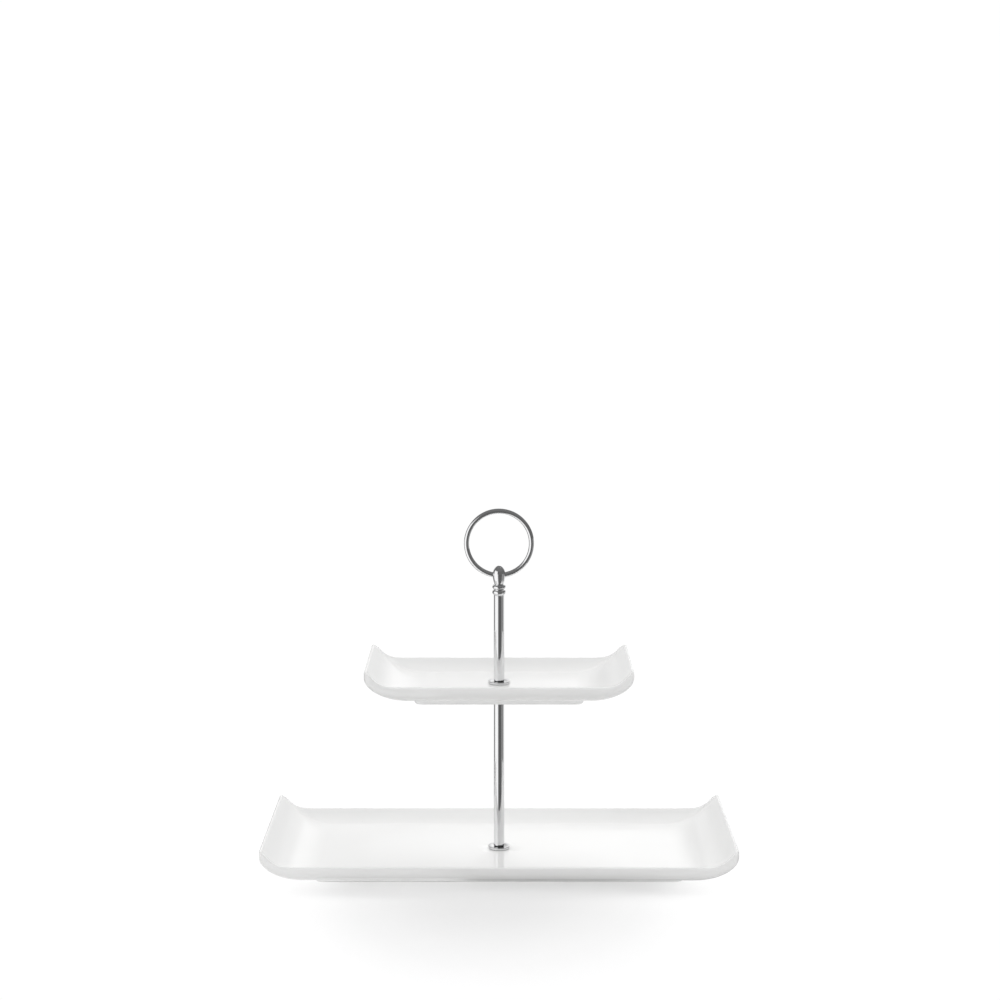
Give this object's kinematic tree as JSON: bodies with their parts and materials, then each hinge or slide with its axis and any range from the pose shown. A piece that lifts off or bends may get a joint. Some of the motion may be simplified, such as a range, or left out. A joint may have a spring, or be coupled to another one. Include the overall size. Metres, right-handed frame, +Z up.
{
  "type": "tiered cake stand",
  "caption": "Tiered cake stand with long glazed plates whose ends sweep up, on a slim polished column with an acorn finial and a ring handle.",
  "frame": {"origin": "on the table, on the column's axis, at the middle of the lower plate's foot", "axes": "+Z up along the column, +X along the plates, -Y the side that the ring handle and the picture's view face"},
  "size_m": [0.35, 0.15, 0.2702],
  "materials": {
    "glazed_porcelain": "clear glossy glaze over white porcelain",
    "polished_chrome": "bright mirror plating",
    "plated_steel": "zinc-plated, satin",
    "soft_gasket": "thin grey silicone, matt"
  },
  "bodies": {
    "lower_tier": {"lower_plate": "glazed_porcelain", "base_gasket": "soft_gasket", "lower_gasket": "soft_gasket"},
    "column": {"base_screw": "plated_steel", "base_washer": "plated_steel", "lower_washer": "polished_chrome", "lower_rod": "polished_chrome", "middle_stud": "plated_steel", "support_washer": "polished_chrome"},
    "upper_tier": {"upper_plate": "glazed_porcelain", "support_gasket": "soft_gasket", "upper_gasket": "soft_gasket"},
    "upper_mast": {"upper_rod": "polished_chrome", "upper_washer": "polished_chrome"},
    "handle": {"finial": "polished_chrome", "finial_stud": "plated_steel", "ring_handle": "polished_chrome"}
  },
  "joints": [
    {"name": "column_turn", "type": "hinge", "parent": "lower_tier", "child": "column", "pos_m": [0, 0, 0.01], "axis": [0, 0, 1], "continuous": true},
    {"name": "upper_tier_turn", "type": "hinge", "parent": "column", "child": "upper_tier", "pos_m": [0, 0, 0.133], "axis": [0, 0, 1], "continuous": true},
    {"name": "upper_rod_unscrew", "type": "hinge", "parent": "column", "child": "upper_mast", "pos_m": [0, 0, 0.1388], "axis": [0, 0, 1], "range_deg": [0, 2610]},
    {"name": "handle_unscrew", "type": "hinge", "parent": "upper_mast", "child": "handle", "pos_m": [0, 0, 0.2048], "axis": [0, 0, 1], "range_deg": [0, 2610]}
  ]
}
